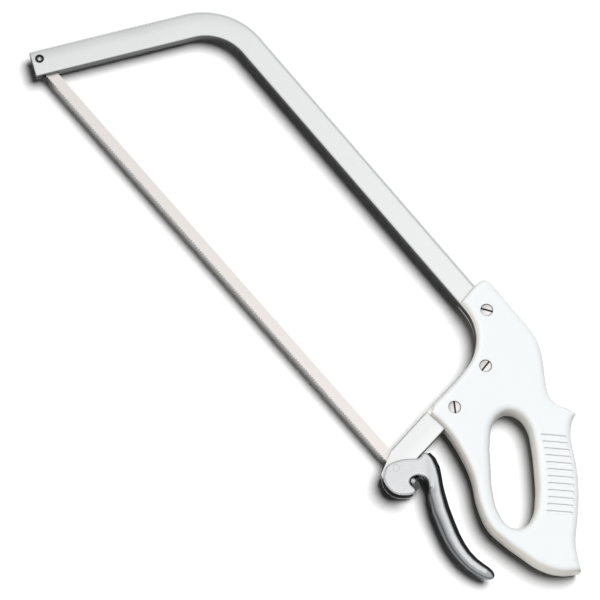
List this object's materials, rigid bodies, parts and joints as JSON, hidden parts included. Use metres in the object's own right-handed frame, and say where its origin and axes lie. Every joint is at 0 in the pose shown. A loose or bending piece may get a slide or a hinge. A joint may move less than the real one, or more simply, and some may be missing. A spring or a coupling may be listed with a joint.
{
  "type": "butcher saw",
  "caption": "Bow saw for meat and bone: bent metal frame, toothed blade drawn tight by an over-centre lever at the rear, and a two-scale moulded grip with a finger hole.",
  "frame": {"origin": "the heel, where the centre lines of the spine and the lower arm cross, on the back face of the handle that the saw rests on", "axes": "+X along the blade from the tip to the handle, +Y from the blade to the spine, +Z from the back face to the front face"},
  "size_m": [0.6652, 0.1912, 0.026],
  "materials": {
    "frame": "satin",
    "blade": "ground strip",
    "lever": "cast and polished",
    "pins": "turned",
    "screws": "nickel plated",
    "handle": "satin moulding"
  },
  "bodies": {
    "frame": {"frame_bar": "frame", "front_blade_pin": "pins", "pivot_stud_front": "pins", "pivot_stud_back": "pins", "handle_front": "handle", "handle_back": "handle", "upper_handle_screw": "screws", "middle_handle_screw": "screws", "lower_handle_screw": "screws", "upper_sleeve_nut": "screws", "middle_sleeve_nut": "screws", "lower_sleeve_nut": "screws"},
    "lever": {"tension_lever": "lever"},
    "blade": {"saw_blade": "blade", "rear_blade_pin": "pins"}
  },
  "joints": [
    {"name": "lever_pivot", "type": "hinge", "parent": "frame", "child": "lever", "pos_m": [0.02216, -0.152, 0.013], "axis": [0, 0, 1], "range_deg": [-55, 0]},
    {"name": "blade_hinge", "type": "hinge", "parent": "lever", "child": "blade", "pos_m": [0.03996, -0.148, 0.013], "axis": [0, 0, 1], "range_deg": [0, 53.2]}
  ],
  "couplings": [
    {"joint": "blade_hinge", "follows": "lever_pivot", "ratio": -0.9653}
  ]
}
